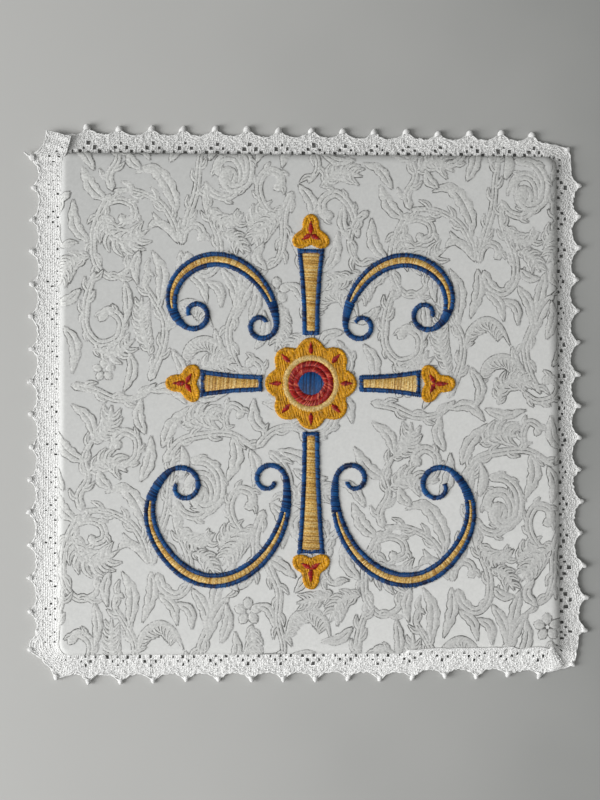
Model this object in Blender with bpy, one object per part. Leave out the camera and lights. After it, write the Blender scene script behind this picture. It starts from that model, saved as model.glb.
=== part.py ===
"""Chalice pall: a stiff square of white damask with a scalloped lace edging and an embroidered cross.

The pall lies flat, front up. The origin is the centre of its underside, +Z is up and +Y is the top of
the embroidery. Lengths are in metres. Every piece is one closed solid, parented to one empty.
"""

import math

import bmesh
import bpy
from mathutils import Matrix, Vector
from mathutils.geometry import interpolate_bezier

MM = 0.001

# The pieces stand this far apart, so that no two solids touch.
GAP = 0.3 * MM

# The panel: two cloths sewn face to face, turned over a stiff card, so its edge is a soft round.
SIDE = 160 * MM
THICKNESS = 4 * MM
CORNER_RADIUS = 4 * MM
CORNER_STEPS = 6
EDGE_ROUND = 1.6 * MM
EDGE_STEPS = 4

# The lace: one strip sewn into the seam at half the panel's height and eased round each corner.
LACE_THICKNESS = 0.8 * MM
LACE_HEIGHT = THICKNESS / 2
LACE_DROOP = 0.7 * MM
LACE_RIPPLE = 0.25 * MM
RIPPLES_ROUND = 11
REPEATS_PER_SIDE = 15
CORNER_TAKE_UP = 0.5 * MM
# One repeat runs from hollow to hollow over a picot, and has a column at each of these shares of it.
HOLLOW_REACH = 5.3 * MM
PICOT_RISE = 3.4 * MM
PICOT_SPREAD = 0.17
PICOT_FALL = 1.6
COLUMNS = (0.00, 0.20, 0.34, 0.43, 0.50, 0.57, 0.66, 0.80)
# How far the sewing pulls in each repeat along a side, in millimetres.
PULLED_IN = (0.3, 0, 0.2, 0.5, 0, 0.3, 0.1, 0, 0.4, 0.2, 0, 0.3, 0, 0.5, 0.2)
ROWS_ACROSS = (0, 0.55, 1)

# The embroidery: satin stitch and laid fillings, each colour a low raised shape.
STITCH_BASE = THICKNESS + GAP
STITCH_HEIGHT = 0.5 * MM
OUTLINE_WIDTH = 1.3 * MM

# The cross: four arms that widen outwards from a boss, as (name, turn from +X in degrees, end distance).
CROSS_CENTRE = Vector((0, 6 * MM))
ARM_START = 15.6 * MM
ARM_NARROW = 2.6 * MM
ARM_WIDE = 4.3 * MM
ARM_STEPS = 4
ARMS = (
    ("right", 0, 35 * MM),
    ("top", 90, 43 * MM),
    ("left", 180, 35 * MM),
    ("bottom", 270, 54 * MM),
)

# The trefoil bud past the end of each arm.
BUD_RADIUS = 4.9 * MM
BUD_SWELL = 1.6 * MM
BUD_OFFSET = 4.8 * MM
BUD_POINTS = 24

# The boss: a lobed ring round a plain ring, round a centre.
BOSS_RADIUS = 13.2 * MM
BOSS_SCALLOP = 1.4 * MM
BOSS_LOBES = 8
BOSS_POINTS = 48
RING_RADIUS = 7.2 * MM
CENTRE_RADIUS = 3.8 * MM

# The scrolls right of the cross, as two Bezier spans in millimetres. The left side mirrors them.
SCROLL_HALF_WIDTH = 2.3 * MM
SCROLL_TIP = 0.8 * MM
BAND_STEPS = 20
SCROLLS = {
    "lower": ((8, -24), (4, -48), (30, -69), (46, -48), (53, -39), (53, -29), (45, -22)),
    "upper": ((11, 25), (12, 40), (28, 52), (40, 42), (46, 37), (46, 28), (40, 24)),
}
# The shares of a scroll at each end where its outline closes up, and where its core stops.
OUTLINE_CLOSED = 0.12
CORE_STOP = 0.20
# The curls at the scrolls' ends, as (scroll, end, way it winds, first radius, last radius, sweep).
CURL_HALF_WIDTH = 0.7 * MM
CURL_STEP = 20
CURLS = (
    ("lower", "last", 1, 6.5 * MM, 2.2 * MM, 330),
    ("lower", "first", -1, 5.5 * MM, 2.0 * MM, 330),
    ("upper", "last", -1, 5.2 * MM, 2.0 * MM, 320),
    ("upper", "first", 1, 5.0 * MM, 2.0 * MM, 330),
)

# Colour, roughness and metallic value of each material.
FINISHES = {
    "damask": ((0.80, 0.80, 0.79, 1), 0.62, 0.0),
    "lace": ((0.90, 0.90, 0.89, 1), 0.85, 0.0),
    "gold_thread": ((0.72, 0.53, 0.22, 1), 0.38, 0.35),
    "blue_thread": ((0.02, 0.10, 0.30, 1), 0.45, 0.0),
    "orange_thread": ((0.88, 0.50, 0.06, 1), 0.48, 0.0),
    "red_thread": ((0.62, 0.05, 0.03, 1), 0.48, 0.0),
}


def clear_scene():
    for obj in list(bpy.data.objects):
        bpy.data.objects.remove(obj, do_unlink=True)


def material(name):
    """The Principled material of one of the finishes, made once."""
    found = bpy.data.materials.get(name)
    if found:
        return found
    colour, roughness, metallic = FINISHES[name]
    made = bpy.data.materials.new(name)
    made.use_nodes = True
    made.diffuse_color = colour
    shader = made.node_tree.nodes["Principled BSDF"]
    shader.inputs["Base Color"].default_value = colour
    shader.inputs["Roughness"].default_value = roughness
    shader.inputs["Metallic"].default_value = metallic
    return made


def add_piece(name, bm, finish, parent):
    """One named object from a finished bmesh, with its faces outwards."""
    bmesh.ops.recalc_face_normals(bm, faces=bm.faces)
    mesh = bpy.data.meshes.new(name)
    bm.to_mesh(mesh)
    bm.free()
    mesh.materials.append(material(finish))
    mesh.shade_smooth()
    mesh.set_sharp_from_angle(angle=math.radians(40))
    obj = bpy.data.objects.new(name, mesh)
    bpy.context.scene.collection.objects.link(obj)
    obj.parent = parent
    return obj


def raise_faces(bm, faces, height):
    """Extrudes the flat faces upwards and returns the points of the new top."""
    raised = bmesh.ops.extrude_face_region(bm, geom=faces)["geom"]
    top = [v for v in raised if isinstance(v, bmesh.types.BMVert)]
    bmesh.ops.translate(bm, verts=top, vec=(0, 0, height))
    return top


def build_panel(parent):
    """The stiff panel: a slab with round corners, whose two rims are bevelled round."""
    bm = bmesh.new()
    inner = SIDE / 2 - CORNER_RADIUS
    outline = []
    for quarter in range(4):
        for step in range(CORNER_STEPS + 1):
            turn = Matrix.Rotation(math.radians(90 * (quarter + step / CORNER_STEPS)), 2)
            centre = Matrix.Rotation(math.radians(90 * quarter), 2) @ Vector((inner, inner))
            point = centre + turn @ Vector((CORNER_RADIUS, 0))
            outline.append(bm.verts.new((point.x, point.y, 0)))
    raise_faces(bm, [bm.faces.new(outline)], THICKNESS)
    rims = [e for e in bm.edges if abs(e.verts[0].co.z - e.verts[1].co.z) < GAP]
    bmesh.ops.bevel(
        bm, geom=rims, offset=EDGE_ROUND, segments=EDGE_STEPS, profile=0.5, affect="EDGES", material=-1
    )
    add_piece("pall_panel", bm, "damask", parent)


def lace_reach(share):
    """How far the lace reaches past the panel at this share of a repeat: a mound between two hollows."""
    return HOLLOW_REACH + PICOT_RISE * math.exp(-((abs(share - 0.5) / PICOT_SPREAD) ** PICOT_FALL))


def lace_stations():
    """Every column of the lace as (sewn point, outward normal, reach, place round the loop from 0 to 1)."""
    straight = SIDE - 2 * CORNER_RADIUS
    pitch = straight / REPEATS_PER_SIDE
    sewn = SIDE / 2 + GAP
    repeats = REPEATS_PER_SIDE + 1
    stations = []
    for quarter in range(4):
        turn = Matrix.Rotation(math.radians(90 * quarter), 2)
        for repeat in range(repeats):
            for share in COLUMNS:
                reach = lace_reach(share)
                if repeat < REPEATS_PER_SIDE:
                    along = (repeat + share) * pitch - straight / 2
                    point = Vector((sewn, along))
                    normal = Vector((1, 0))
                    reach -= PULLED_IN[repeat] * MM * reach / lace_reach(0.5)
                else:
                    normal = Matrix.Rotation(math.radians(90 * share), 2) @ Vector((1, 0))
                    point = Vector((straight / 2, straight / 2)) + normal * (CORNER_RADIUS + GAP)
                    reach -= CORNER_TAKE_UP
                place = (quarter + (repeat + share) / repeats) / 4
                stations.append((turn @ point, turn @ normal, reach, place))
    return stations


def build_lace(parent):
    """The lace edging: one scalloped strip that droops and ripples a little, thickened by Solidify."""
    bm = bmesh.new()
    furthest = lace_reach(0.5)
    rings = []
    for row in ROWS_ACROSS:
        ring = []
        for sewn, normal, reach, place in lace_stations():
            out = reach * row
            point = sewn + normal * out
            ripple = LACE_RIPPLE * math.sin(2 * math.pi * RIPPLES_ROUND * place) * out / furthest
            height = LACE_HEIGHT - LACE_DROOP * (out / furthest) ** 2 + ripple
            ring.append(bm.verts.new((point.x, point.y, height)))
        rings.append(ring)
    for near, far in zip(rings, rings[1:]):
        for i in range(len(near)):
            bm.faces.new((near[i - 1], far[i - 1], far[i], near[i]))
    lace = add_piece("lace_edging", bm, "lace", parent)
    thicken = lace.modifiers.new("Thickness", "SOLIDIFY")
    thicken.thickness = LACE_THICKNESS
    thicken.offset = 0


def add_stitching(name, finish, parent, outline, hole=None):
    """A low raised shape on the panel, from an outline and, for a ring, a hole with as many points."""
    bm = bmesh.new()
    outer = [bm.verts.new((p.x, p.y, STITCH_BASE)) for p in outline]
    if hole is None:
        faces = [bm.faces.new(outer)]
    else:
        inner = [bm.verts.new((p.x, p.y, STITCH_BASE)) for p in hole]
        faces = [
            bm.faces.new((outer[i - 1], outer[i], inner[i], inner[i - 1])) for i in range(len(outer))
        ]
    raise_faces(bm, faces, STITCH_HEIGHT)
    add_piece(name, bm, finish, parent)


def along(line, share):
    """The point of a line of points at this share of its steps, and the line's unit direction there."""
    place = share * (len(line) - 1)
    first = min(int(place), len(line) - 2)
    point = line[first].lerp(line[first + 1], place - first)
    before = line[max(first - (place == first), 0)]
    return point, (line[first + 1] - before).normalized()


def band_outline(line, half_width, steps, first=0.0, last=1.0):
    """The closed outline of a band along a line, where half_width(share) gives half its width."""
    left = []
    right = []
    for step in range(steps + 1):
        share = first + (last - first) * step / steps
        point, direction = along(line, share)
        side = Vector((-direction.y, direction.x)) * half_width(share)
        left.append(point + side)
        right.append(point - side)
    return left + right[::-1]


def mirrored(points, side):
    return [Vector((p.x * side, p.y)) for p in points]


def ring_points(count, centre, radius_at, turn=0.0):
    """Points round a centre, where radius_at(angle) gives the distance."""
    found = []
    for i in range(count):
        angle = 2 * math.pi * i / count
        direction = Vector((math.cos(angle + turn), math.sin(angle + turn)))
        found.append(centre + direction * radius_at(angle))
    return found


def build_arm(name, turn, end, parent):
    """One arm of the cross: a gold core in a blue outline, with an orange trefoil bud past its end."""
    direction = Matrix.Rotation(math.radians(turn), 2) @ Vector((1, 0))
    line = [CROSS_CENTRE + direction * ARM_START, CROSS_CENTRE + direction * end]
    length = end - ARM_START

    def half_width(share):
        return ARM_NARROW + (ARM_WIDE - ARM_NARROW) * share**2

    def hole_width(share):
        return half_width(share) - OUTLINE_WIDTH

    def core_width(share):
        return hole_width(share) - GAP

    border = OUTLINE_WIDTH / length
    inside = border + GAP / length
    outer = band_outline(line, half_width, ARM_STEPS)
    hole = band_outline(line, hole_width, ARM_STEPS, border, 1 - border)
    fill = band_outline(line, core_width, ARM_STEPS, inside, 1 - inside)
    add_stitching(f"arm_{name}_outline", "blue_thread", parent, outer, hole)
    add_stitching(f"arm_{name}_core", "gold_thread", parent, fill)
    bud = ring_points(
        BUD_POINTS,
        CROSS_CENTRE + direction * (end + BUD_OFFSET),
        lambda angle: BUD_RADIUS + BUD_SWELL * math.cos(3 * angle),
        math.radians(turn),
    )
    add_stitching(f"bud_{name}", "orange_thread", parent, bud)


def build_boss(parent):
    """The boss at the crossing: a lobed orange ring, a red ring and a blue centre."""

    def lobed(angle):
        swell = abs(math.cos(BOSS_LOBES / 2 * angle))
        return BOSS_RADIUS + BOSS_SCALLOP * (2 * swell - 1)

    def circle(radius):
        return ring_points(BOSS_POINTS, CROSS_CENTRE, lambda angle: radius)

    add_stitching(
        "boss_petals",
        "orange_thread",
        parent,
        ring_points(BOSS_POINTS, CROSS_CENTRE, lobed),
        circle(RING_RADIUS + GAP),
    )
    add_stitching("boss_ring", "red_thread", parent, circle(RING_RADIUS), circle(CENTRE_RADIUS + GAP))
    add_stitching("boss_centre", "blue_thread", parent, circle(CENTRE_RADIUS)[::2])


def scroll_line(name):
    """The centre line of a scroll on the right side."""
    points = [Vector(p) * MM for p in SCROLLS[name]]
    steps = BAND_STEPS // 2 + 1
    first = interpolate_bezier(*points[0:4], steps)
    second = interpolate_bezier(*points[3:7], steps)
    return [Vector(p[:2]) for p in first + second[1:]]


def scroll_half_width(share):
    """Half a scroll's width: widest at its middle, drawn in to its tips."""
    swell = math.sin(math.pi * share) ** 0.7
    return SCROLL_TIP + (SCROLL_HALF_WIDTH - SCROLL_TIP) * swell


def build_scroll(name, side, side_name, parent):
    """One scroll: a gold core in a blue outline."""
    line = mirrored(scroll_line(name), side)

    def hole_width(share):
        return scroll_half_width(share) - OUTLINE_WIDTH

    def core_width(share):
        return hole_width(share) - GAP

    outer = band_outline(line, scroll_half_width, BAND_STEPS)
    hole = band_outline(line, hole_width, BAND_STEPS, OUTLINE_CLOSED, 1 - OUTLINE_CLOSED)
    fill = band_outline(line, core_width, BAND_STEPS, CORE_STOP, 1 - CORE_STOP)
    add_stitching(f"scroll_{name}_{side_name}_outline", "blue_thread", parent, outer, hole)
    add_stitching(f"scroll_{name}_{side_name}_core", "gold_thread", parent, fill)


def build_curl(scroll, end, way, first_radius, last_radius, sweep, side, side_name, parent):
    """One blue curl that runs on from a scroll's tip and winds inwards."""
    line = scroll_line(scroll)
    if end == "first":
        line = line[::-1]
    direction = (line[-1] - line[-2]).normalized()
    start = line[-1] + direction * GAP
    inwards = Vector((-direction.y, direction.x)) * way
    centre = start + inwards * first_radius
    steps = round(sweep / CURL_STEP)
    curl = []
    for step in range(steps + 1):
        share = step / steps
        turn = Matrix.Rotation(math.radians(sweep * share * way), 2)
        radius = first_radius + (last_radius - first_radius) * share
        curl.append(centre + turn @ (-inwards) * radius)
    outline = band_outline(mirrored(curl, side), lambda s: CURL_HALF_WIDTH, steps)
    add_stitching(f"curl_{scroll}_{end}_{side_name}", "blue_thread", parent, outline)


def main():
    clear_scene()
    pall = bpy.data.objects.new("pall", None)
    bpy.context.scene.collection.objects.link(pall)
    build_panel(pall)
    build_lace(pall)
    for name, turn, end in ARMS:
        build_arm(name, turn, end, pall)
    build_boss(pall)
    for side, side_name in ((1, "right"), (-1, "left")):
        for name in SCROLLS:
            build_scroll(name, side, side_name, pall)
        for curl in CURLS:
            build_curl(*curl, side, side_name, pall)


main()
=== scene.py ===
import math
import random

import bmesh
import bpy
from mathutils import Matrix, Vector, noise
from mathutils.geometry import interpolate_bezier


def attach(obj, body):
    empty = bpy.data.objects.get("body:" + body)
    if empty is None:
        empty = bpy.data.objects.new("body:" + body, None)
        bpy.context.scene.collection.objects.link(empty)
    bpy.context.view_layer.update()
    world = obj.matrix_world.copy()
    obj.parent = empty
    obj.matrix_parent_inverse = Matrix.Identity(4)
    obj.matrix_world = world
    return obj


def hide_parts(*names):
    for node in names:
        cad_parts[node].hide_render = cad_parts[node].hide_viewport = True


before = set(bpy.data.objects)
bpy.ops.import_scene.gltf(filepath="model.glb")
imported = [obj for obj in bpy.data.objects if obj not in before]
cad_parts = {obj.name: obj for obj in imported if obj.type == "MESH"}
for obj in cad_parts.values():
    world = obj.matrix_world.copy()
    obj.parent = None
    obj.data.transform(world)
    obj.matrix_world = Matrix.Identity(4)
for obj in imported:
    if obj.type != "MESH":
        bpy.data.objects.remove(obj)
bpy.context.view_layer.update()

MM = 0.001

# The table, the light and the camera.
# A pale table top, plain but for painted shade that darkens it towards the right, one soft light low on
# the left, and a weaker, broader one higher up on the same side. The camera stands almost straight above
# and leans a little to the lower left.
SEEN_HEIGHT = 256 * MM
CAMERA_DISTANCE = 430 * MM
CAMERA_LEAN = Vector((-17 * MM, -17 * MM))
CAMERA_AIM = Vector((-3.4 * MM, 0.8 * MM, 2 * MM))
SENSOR = 36

scene = bpy.context.scene
scene.view_settings.view_transform = "Standard"
camera = bpy.data.objects.new("camera", bpy.data.cameras.new("camera"))
camera.data.sensor_width = SENSOR
camera.data.lens = SENSOR * CAMERA_DISTANCE / SEEN_HEIGHT
camera.location = CAMERA_AIM + Vector((CAMERA_LEAN.x, CAMERA_LEAN.y, CAMERA_DISTANCE))
looking = (CAMERA_AIM - camera.location).normalized()
across = looking.cross(Vector((0, 1, 0))).normalized()
camera.matrix_world = Matrix.Translation(camera.location) @ Matrix(
    (across, across.cross(looking), -looking)
).transposed().to_4x4()
scene.collection.objects.link(camera)
scene.camera = camera

world = bpy.data.worlds.new("room")
world.use_nodes = True
world.node_tree.nodes["Background"].inputs["Color"].default_value = (0.97, 0.98, 0.95, 1)
world.node_tree.nodes["Background"].inputs["Strength"].default_value = 0.15
scene.world = world

# Each light as (name, place, size, watts).
LIGHTS = (
    ("window", Vector((-0.98, -0.22, 0.56)), 0.60, 12.0),
    ("bounce", Vector((-0.42, -0.30, 0.90)), 1.10, 4.0),
)
for name, place, size, watts in LIGHTS:
    light = bpy.data.lights.new(name, "AREA")
    light.size = size
    light.energy = watts
    lamp = bpy.data.objects.new(name, light)
    lamp.location = place
    lamp.rotation_euler = (-place).to_track_quat("-Z", "Y").to_euler()
    scene.collection.objects.link(lamp)


class Fibre:
    """A value in a material: an output socket, whose sums and products add their Math nodes."""

    def __init__(self, tree, socket=None):
        self.tree = tree
        self.socket = socket

    def node(self, kind, settings=(), inputs=(), output=0):
        """Adds a node of this kind, sets it up, fills or links its sockets and gives back one output."""
        made = self.tree.nodes.new(kind)
        for name, value in dict(settings).items():
            setattr(made, name, value)
        for name, value in dict(inputs).items():
            socket = made.inputs[name]
            if isinstance(value, Fibre):
                self.tree.links.new(value.socket, socket)
            else:
                socket.default_value = value
        return Fibre(self.tree, made.outputs[output])

    def maths(self, operation, *values):
        return self.node("ShaderNodeMath", {"operation": operation}, dict(enumerate(values)))

    def __add__(self, other):
        return self.maths("ADD", self, other)

    __radd__ = __add__

    def __mul__(self, other):
        return self.maths("MULTIPLY", self, other)

    __rmul__ = __mul__

    def __sub__(self, other):
        return self.maths("SUBTRACT", self, other)

    def mix(self, low, high):
        """A colour between two others, by this value."""
        return self.node(
            "ShaderNodeMix", {"data_type": "RGBA"}, {"Factor": self, 6: low, 7: high}, output=2
        )


def finish(name, roughness, specular=0.3, sheen=0.0, metallic=0.0):
    """A new material with these fixed values, as (material, a Fibre to make its nodes with, the place on
    the piece, its shader)."""
    made = bpy.data.materials.new(name)
    made.use_nodes = True
    shader = made.node_tree.nodes["Principled BSDF"]
    shader.inputs["Roughness"].default_value = roughness
    shader.inputs["Specular IOR Level"].default_value = specular
    shader.inputs["Sheen Weight"].default_value = sheen
    shader.inputs["Metallic"].default_value = metallic
    fibre = Fibre(made.node_tree)
    return made, fibre, fibre.node("ShaderNodeTexCoord", output=3), shader


def dress(fibre, shader, colour, height=None, strength=0.5):
    """Links a colour, and a height through a Bump node, to a shader."""
    fibre.tree.links.new(colour.socket, shader.inputs["Base Color"])
    if height is not None:
        inputs = {"Strength": strength, "Distance": 0.1 * MM, "Height": height}
        bump = fibre.node("ShaderNodeBump", (), inputs)
        fibre.tree.links.new(bump.socket, shader.inputs["Normal"])


def speckle(fibre, place, size):
    """Noise of about this size, from 0 to 1, at a place on the piece."""
    return fibre.node("ShaderNodeTexNoise", (), {"Vector": place, "Scale": 1 / size, "Detail": 2.0})


def weave(fibre, place, pitch, turn=0.0):
    """The height of a plain or twilled weave: two families of threads this far apart."""
    place = fibre.node("ShaderNodeMapping", (), {"Vector": place, "Rotation": (0, 0, math.radians(turn))})
    threads = []
    for direction in ("X", "Y"):
        threads.append(
            fibre.node(
                "ShaderNodeTexWave",
                {"wave_type": "BANDS", "bands_direction": direction},
                {"Vector": place, "Scale": 2 * math.pi / 20 / pitch, "Distortion": 0.4, "Detail": 0.0},
            )
        )
    return threads[0].maths("MAXIMUM", *threads)


table_finish, fibre, place, shader = finish("table_top", 0.75)
# Painted shade: the table top goes darker towards the right, faster near the right edge, its border blurred
# by broad noise.
darker = fibre.node("ShaderNodeSeparateXYZ", (), {0: place}) * 4.4 + 0.5
darker = darker + (speckle(fibre, place, 60 * MM) - 0.5) * 0.5
darker = fibre.node("ShaderNodeClamp", (), {"Value": darker})
dress(fibre, shader, (darker * darker).mix((0.53, 0.53, 0.515, 1), (0.37, 0.375, 0.365, 1)))
bm = bmesh.new()
bmesh.ops.create_grid(bm, x_segments=1, y_segments=1, size=1.5)
table_mesh = bpy.data.meshes.new("table_top")
bm.to_mesh(table_mesh)
bm.free()
table_mesh.materials.append(table_finish)
table = bpy.data.objects.new("table_top", table_mesh)
scene.collection.objects.link(table)

# The panel's cloths.
# Two squares of white cotton damask, sewn face to face round their edges, turned and drawn over a
# stiff card, so the edge is a half round with its seam at half height, where the lace is caught in. The
# cloths are drawn tighter over the left edge than over the right.
SIDE = 160 * MM
THICKNESS = 4 * MM
TURN = THICKNESS / 2
CORNER_RADIUS = 4 * MM
FLAT_HALF = SIDE / 2 - CORNER_RADIUS
FLAT_CORNER = CORNER_RADIUS - TURN
SLACK = 1.2 * MM
SEAM_SUNK = 0.35 * MM
EDGE_STEPS = 8
ONTO_FLAT = 0.6 * MM
EDGE_WAVE = 0.14 * MM
EDGE_WAVE_PITCH = 6 * MM


def eased(share):
    """From 0 to 1 with level ends."""
    share = min(max(share, 0), 1)
    return share * share * (3 - 2 * share)


def edge_width(x):
    """How wide the upper edge's rounding is, seen from above."""
    return TURN + SLACK * eased(x / SIDE + 0.5)


def over_edge(u, v, height):
    """Where a point of the flat cloth comes to lie: flat on the card, then round its edge to the seam."""
    core = Vector((min(max(u, -FLAT_HALF), FLAT_HALF), min(max(v, -FLAT_HALF), FLAT_HALF)))
    out = Vector((u, v)) - core
    width = edge_width(u)
    level = CORNER_RADIUS - width
    if out.length <= level:
        return Vector((u, v, THICKNESS + height))
    angle = min((out.length - level) / (FLAT_CORNER + TURN * math.pi / 2 - level), 1) * math.pi / 2
    place = core + out.normalized() * (level + (width + height) * math.sin(angle))
    return Vector((*place, TURN + (TURN + height) * math.cos(angle)))


def spin(degrees):
    """A turn in the panel's plane."""
    return Matrix.Rotation(math.radians(degrees), 2)


def heading(degrees):
    return spin(degrees) @ Vector((1, 0))


def edge_line(half, radius, corner_steps, straight_steps):
    """Points and outward normals round a square with rounded corners, from the right side anticlockwise."""
    found = []
    inner = half - radius
    for quarter in range(4):
        turn = spin(90 * quarter)
        for step in range(straight_steps):
            place = Vector((half, inner * (2 * step / straight_steps - 1)))
            found.append((turn @ place, turn @ Vector((1, 0))))
        for step in range(corner_steps):
            normal = heading(90 * step / corner_steps)
            found.append((turn @ (Vector((inner, inner)) + normal * radius), turn @ normal))
    return found


def grid(bm, columns, rows, place_at, closed=False):
    """A new grid of faces, each point put where place_at(column, row) says; closed joins the last column
    to the first. Gives back the points and each one's column."""
    made = bmesh.ops.create_grid(bm, x_segments=columns - 1 + closed, y_segments=rows - 1, size=1)["verts"]
    wide = columns + closed
    column_of = {}
    for i, vert in enumerate(made):
        column_of[vert] = i % wide
        vert.co = place_at(i % wide % columns, i // wide)
    return made, column_of


def add_object(name, mesh):
    """A finished object of this mesh, on the root body."""
    mesh.shade_smooth()
    obj = bpy.data.objects.new(name, mesh)
    scene.collection.objects.link(obj)
    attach(obj, "root")
    return obj


def add_cloth(name, bm, finishes):
    """An object of the cloth laid out in bm."""
    mesh = bpy.data.meshes.new(name)
    bm.to_mesh(mesh)
    bm.free()
    for made in finishes:
        mesh.materials.append(made)
    return add_object(name, mesh)


rim = edge_line(SIDE / 2, CORNER_RADIUS, corner_steps=8, straight_steps=40)
cuff = []
for side in (1, -1):
    for step in range(EDGE_STEPS + 2):
        angle = math.pi / 2 * min(step / EDGE_STEPS, 1)
        more = SEAM_SUNK if step == 0 else (ONTO_FLAT if step > EDGE_STEPS else 0)
        cuff.append((1 - math.cos(angle), more, side * TURN * math.sin(angle)))
cuff = cuff[: EDGE_STEPS + 2][::-1] + cuff[EDGE_STEPS + 3 :]


def cuff_place(column, row):
    place, normal = rim[column]
    share, more, rise = cuff[row]
    inset = share * (edge_width(place.x) if rise > 0 else TURN) + more
    wave = noise.noise(Vector((place.x, place.y, rise)) / EDGE_WAVE_PITCH) * abs(1 - abs(rise) / TURN)
    place = place - normal * (inset - EDGE_WAVE * wave)
    return Vector((*place, TURN + rise))


bm = bmesh.new()
grid(bm, len(rim), len(cuff), cuff_place, closed=True)
bmesh.ops.remove_doubles(bm, verts=bm.verts, dist=1e-6)
bmesh.ops.holes_fill(bm, edges=bm.edges, sides=0)
bmesh.ops.recalc_face_normals(bm, faces=bm.faces)
for face in bm.faces:
    face.material_index = int(face.calc_center_median().z < TURN)


def painted_light_towards_lower_right(fibre, place):
    """From 0 at the upper left corner to 1 at the lower right: how far painted light and shade turn a
    colour, standing in for the satin's sheen, which turns from the light towards the lower right.
    """
    down = fibre.node("ShaderNodeSeparateXYZ", (), {0: place}, output=1)
    return (fibre.node("ShaderNodeSeparateXYZ", (), {0: place}) - down) * (0.5 / SIDE) + 0.5


ground_finish, fibre, place, shader = finish("damask_ground", 0.62, specular=0.25)
threads = weave(fibre, place, 0.34 * MM, 2)
mottle = speckle(fibre, place, 0.9 * MM)
# Painted sheen: the ground is painted darker at the upper left and lighter at the lower right.
turned = painted_light_towards_lower_right(fibre, place)
shade = turned.mix((0.50, 0.505, 0.495, 1), (0.79, 0.795, 0.78, 1))
light = turned.mix((0.61, 0.615, 0.605, 1), (0.95, 0.95, 0.93, 1))
dress(fibre, shader, (mottle + threads * 0.3 - 0.15).mix(shade, light), threads * 0.6 + mottle * 0.5, 0.4)
back_finish, fibre, place, shader = finish("plain_back", 0.8, specular=0.2)
threads = weave(fibre, place, 0.4 * MM, 45)
dress(fibre, shader, threads.mix((0.70, 0.70, 0.68, 1), (0.80, 0.80, 0.78, 1)), threads, 0.5)
panel = add_cloth("panel_cloths", bm, [ground_finish, back_finish])
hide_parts("pall_panel")

# The woven figure of the damask.
# Acanthus scrolls, leaves and small flowers, woven into the front cloth as longer floats that stand a
# little proud of the ground, with a sunk line round each. One repeat is charted and laid out again and
# again, a few degrees off the panel's edge, and goes round the edge into the seam.
KNOT = Vector((53.5, 44.5))
REPEAT_ACROSS = Vector((95.4, -5.4))
REPEAT_DOWN = Vector((-9.0, -102.0))
SUNK_LINE = 0.34
SLOPE = 0.30
LAYER = 0.0016
# What stands in each place of a band's section, as (share of the half width, more in mm, height in mm,
# what the cloth is from there to the next place).
SECTION = (
    (-1, -SUNK_LINE, 0.01, "sunk"),
    (-1, 0, 0.02, "figure"),
    (-1, SLOPE, 0.085, "figure"),
    (0, -0.14, 0.085, "vein"),
    (0, 0, 0.095, "vein"),
    (0, 0.14, 0.085, "figure"),
    (1, -SLOPE, 0.085, "figure"),
    (1, 0, 0.02, "sunk"),
    (1, SUNK_LINE, 0.01, ""),
)
NARROW_SECTION = SECTION[:3] + ((0, -0.14, 0.085, "vein"), (0, 0.14, 0.085, "figure")) + SECTION[6:]
# How much fuller each form is woven than the half width charted for it.
FULLER = {"blade": 1.32, "stem": 1.12, "curl": 1.15}
# The lobes along each edge of a blade wider than this: their pitch, and how far the notches between
# them cut in.
LARGE_BLADE = 1.1
LOBE_PITCH = 3.6
LOBE_DEPTH = 0.30
# The small leaves beside a band, as (pitch, length), their half width, and the two bends of their
# spines, as (turn from the band in degrees, part of the length).
LEAFLETS = {"stem": (4.6, 4.8), "curl": (4.8, 3.4)}
LEAFLET_HALF = 0.85
LEAFLET_BENDS = ((48, 0.46), (12, 0.54))
# The lobed leaves' fingers, as (sides, pitch on the rib, bends like a leaflet's, length).
FINGERS = {
    "acanthus": ((-1, 1), 2.7, ((62, 0.5), (24, 0.6)), 2.1),
    "comb": ((-1,), 1.9, ((78, 0.5), (56, 0.6)), 2.2),
}
RIB_STEP = 0.4
SPINE_STEPS = {"stem": 1.3, "curl": 0.9, "blade": 1.0, "finger": 0.75, "petal": 0.75}
PETALS = 5
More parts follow.
